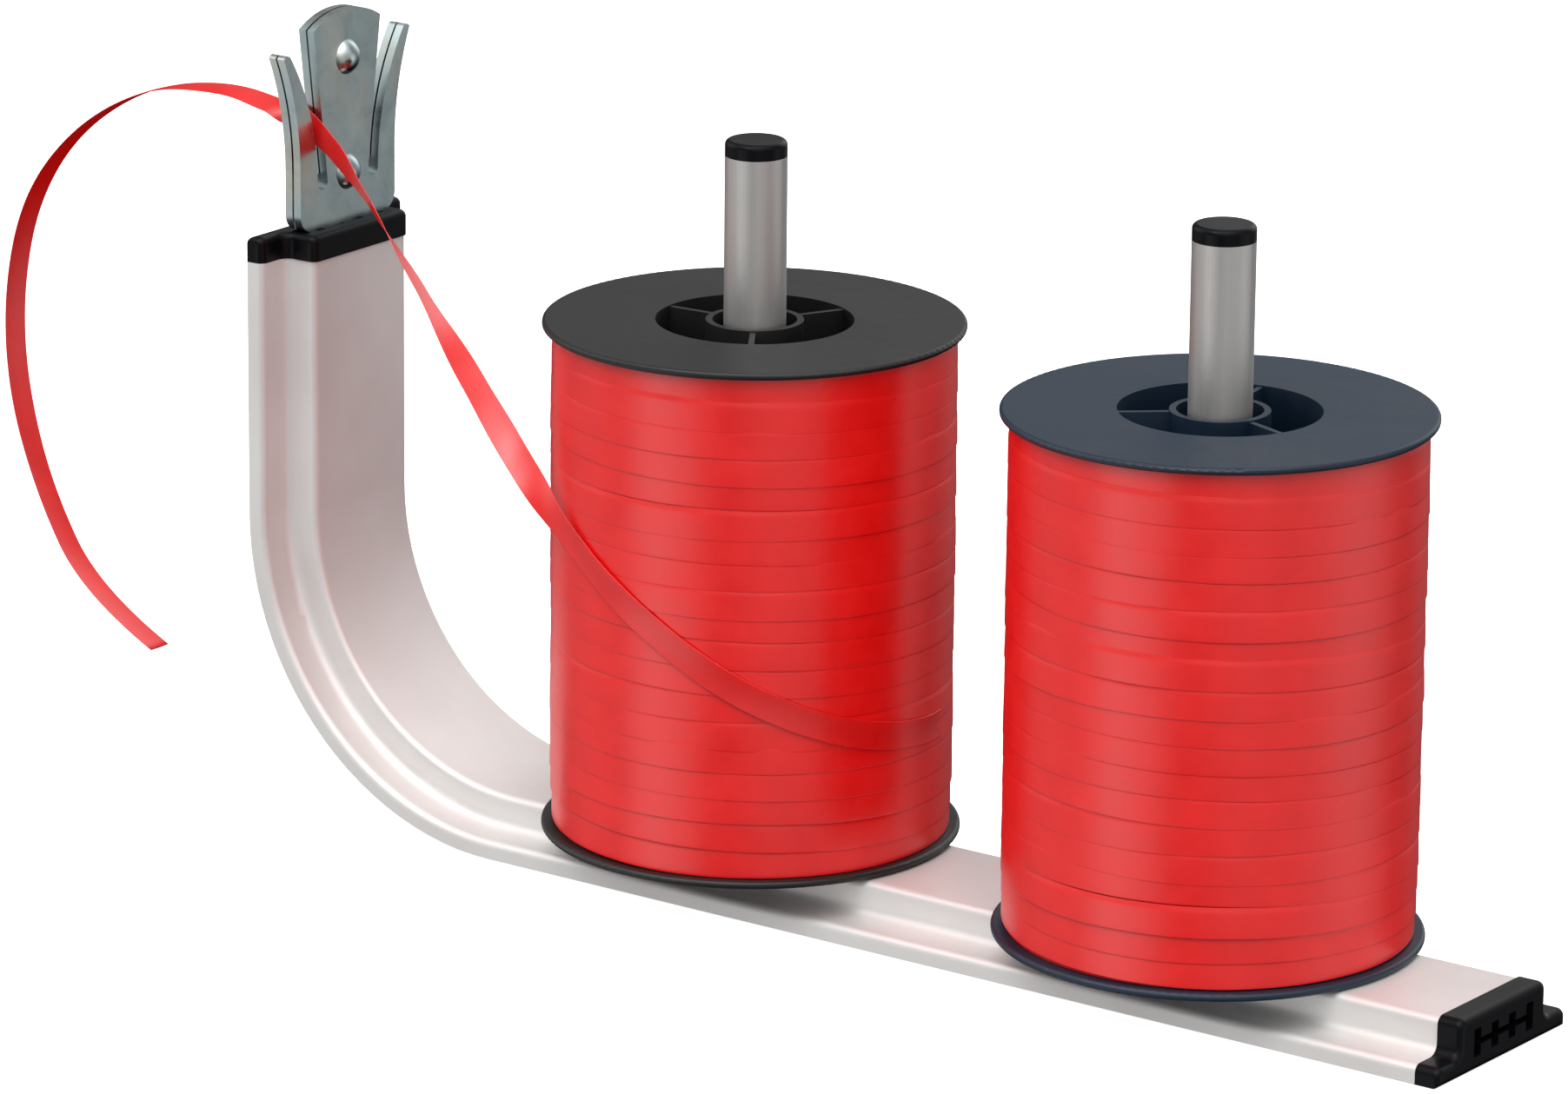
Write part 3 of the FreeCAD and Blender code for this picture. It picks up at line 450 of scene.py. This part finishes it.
# ---------------------------------------------------------------- free ribbon
LINE_STEPS = 20  # points on each span of the ribbon's line
CROWN = 0.9  # how much lower the strip's edges lie than its middle, in thicknesses
STRIP_PLACES = (-0.5, -0.48, -0.36, -0.18, 0.0, 0.18, 0.36, 0.48, 0.5)  # shares of its width


def route_line():
    """The points that the ribbon's smooth line passes, read from its NURBS spline."""
    curve = bpy.data.curves.new("ribbon_line", "CURVE")
    curve.dimensions = "3D"
    spline = curve.splines.new("NURBS")
    spline.points.add(len(RIBBON_ROUTE) - 1)
    for point, (place, _) in zip(spline.points, RIBBON_ROUTE):
        point.co = (*place, 1.0)
    spline.order_u = 3
    spline.use_endpoint_u = True
    spline.resolution_u = LINE_STEPS
    line = bpy.data.objects.new("ribbon_line", curve)
    bpy.context.scene.collection.objects.link(line)
    bpy.context.view_layer.update()
    mesh = bpy.data.meshes.new_from_object(line.evaluated_get(
        bpy.context.evaluated_depsgraph_get()))
    points = [vertex.co.copy() for vertex in mesh.vertices]
    bpy.data.objects.remove(line)
    bpy.data.curves.remove(curve)
    bpy.data.meshes.remove(mesh)
    return points


def ribbon_side(done, along):
    """The direction across the ribbon where this share of its line is done, square to it."""
    spans = len(RIBBON_ROUTE) - 2
    # an inner corner pulls most at about the middle of its own span
    marks = [0.0] + [number + 0.5 for number in range(spans)] + [float(spans)]
    mark = done * spans
    span = max(number for number in range(len(marks) - 1) if marks[number] <= mark + 1e-9)
    share = (mark - marks[span]) / (marks[span + 1] - marks[span])
    share = share * share * (3 - 2 * share)
    side = Vector(RIBBON_ROUTE[span][1]).lerp(Vector(RIBBON_ROUTE[span + 1][1]), share)
    return (side - along * side.dot(along)).normalized()


def make_free_ribbon(material):
    """A thin strip with a slight crown that follows the smooth line and its twist."""
    points = route_line()
    section = [(share, 0.5 - CROWN * (2 * share) ** 2) for share in STRIP_PLACES]
    section += [(share, rise - 1.0) for share, rise in reversed(section)]
    last = len(points) - 1
    vertices = []
    for number, point in enumerate(points):
        before = points[max(number - 1, 0)]
        after = points[min(number + 1, last)]
        along = (after - before).normalized()
        side = ribbon_side(number / last, along)
        face = along.cross(side)
        for share, rise in section:
            vertices.append(point + side * share * RIBBON_WIDTH + face * rise * RIBBON_THICKNESS)
    width = len(section)
    faces = []
    for number in range(last):
        for place in range(width):
            first = number * width + place
            second = number * width + (place + 1) % width
            faces.append((first, first + width, second + width, second))
    faces.append(tuple(range(width)))
    faces.append(tuple(reversed(range(last * width, (last + 1) * width))))
    ribbon = mesh_object("free_ribbon", vertices, faces, material)
    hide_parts("ribbon_strand")
    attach(ribbon, "base")


# ---------------------------------------------------------------- camera, lights and floor
# The photograph's viewpoint, solved from measured points of it.
CAMERA_PLACE = (1.05628, -1.49784, 0.61730)
CAMERA_AZIMUTH = 35.922
CAMERA_ELEVATION = 16.206
CAMERA_ROLL = 0.559
CAMERA_LENS = 197.352

# The soft lights round the object: azimuth, elevation, sharpness and brightness.
# Those below the horizon stand for the light that the pale table throws back.
SOFT_LIGHTS = {
    "ceiling": (0, 90, 6, 1.0),
    "overhead_front": (35, 60, 6, 2.5),
    "small_key": (350, 50, 50, 6.0),
    "front_fill": (35, 25, 8, 0.8),
    "right_fill": (95, 25, 8, 0.6),
    "left_fill": (290, 25, 8, 1.8),
    "back_fill": (180, 25, 8, 1.7),
    "table_left": (338, -14, 45, 1.8),
    "table_front": (358, -14, 60, 1.2),
    "table_right": (50, -14, 14, 0.45),
    "table_far_right": (85, -14, 14, 0.35),
    "table_behind_right": (118, -14, 14, 0.9),
    "table_below": (305, -50, 6, 0.8),
}
WHITE = (1.0, 1.0, 1.0, 1.0)
FLOOR_GREY = (0.80, 0.80, 0.80, 1.0)
FLOOR_GLOW = 0.85
FLOOR_SIZE = 16
FLOOR_HEIGHT = -0.0002  # just below the object, so that no faces coincide


def toward(azimuth, elevation):
    """The direction from the object at an azimuth, from -Y towards +X, and an elevation."""
    turn = math.radians(azimuth)
    rise = math.radians(elevation)
    return Vector((math.sin(turn) * math.cos(rise), -math.cos(turn) * math.cos(rise),
                   math.sin(rise)))


def make_camera():
    back = toward(CAMERA_AZIMUTH, CAMERA_ELEVATION)
    azimuth = math.radians(CAMERA_AZIMUTH)
    roll = math.radians(CAMERA_ROLL)
    level = Vector((math.cos(azimuth), math.sin(azimuth), 0))
    upright = back.cross(level)
    right = level * math.cos(roll) + upright * math.sin(roll)
    up = upright * math.cos(roll) - level * math.sin(roll)
    camera = bpy.data.objects.new("camera", bpy.data.cameras.new("camera"))
    camera.data.sensor_width = 36.0
    camera.data.lens = CAMERA_LENS
    camera.data.clip_start = 0.05
    camera.data.clip_end = 50
    matrix = Matrix((right, up, back)).transposed().to_4x4()
    matrix.translation = Vector(CAMERA_PLACE)
    camera.matrix_world = matrix
    bpy.context.scene.collection.objects.link(camera)
    bpy.context.scene.camera = camera


def make_world():
    """The soft lights as smooth bright patches; the camera itself sees plain white."""
    world = bpy.data.worlds.new("studio")
    bpy.context.scene.world = world
    world.use_nodes = True
    tree = world.node_tree
    direction = add_node(tree, "ShaderNodeTexCoord", {}).outputs["Generated"]
    total = 0.0
    for azimuth, elevation, sharpness, brightness in SOFT_LIGHTS.values():
        towards_light = add_node(tree, "ShaderNodeVectorMath",
                                 {0: direction, 1: toward(azimuth, elevation)},
                                 operation="DOT_PRODUCT").outputs["Value"]
        patch = maths(tree, "POWER", maths(tree, "MAXIMUM", towards_light, 0.0), sharpness)
        total = maths(tree, "MULTIPLY_ADD", patch, brightness, total)
    seen = add_node(tree, "ShaderNodeLightPath", {}).outputs["Is Camera Ray"]
    background = tree.nodes["Background"]
    feed(tree, background.inputs["Strength"], maths(tree, "MAXIMUM", total, seen))
    feed(tree, background.inputs["Color"], WHITE)


def make_floor():
    """A pale floor that takes the object's soft shadow. Only the camera sees it, so that it
    throws no light on the object and stops none from below."""
    bpy.ops.mesh.primitive_plane_add(size=FLOOR_SIZE, location=(0, 0, FLOOR_HEIGHT))
    floor = bpy.context.object
    floor.name = "studio_floor"
    sweep = Finish("studio_floor", Roughness=0.9, Specular_IOR_Level=0.0, Base_Color=FLOOR_GREY,
                   Emission_Color=WHITE, Emission_Strength=FLOOR_GLOW)
    floor.data.materials.append(sweep.material)
    floor.visible_diffuse = False
    floor.visible_glossy = False
    floor.visible_transmission = False
    floor.visible_shadow = False


bpy.context.scene.view_settings.view_transform = "Standard"
make_camera()
make_world()
make_floor()
dress_parts()
wound_red = ribbon_finish("ribbon_red")
for number in (1, 2):
    make_winding(number, 11 * number, wound_red)
make_free_ribbon(ribbon_finish("ribbon_red_loose", translucency=0.3))
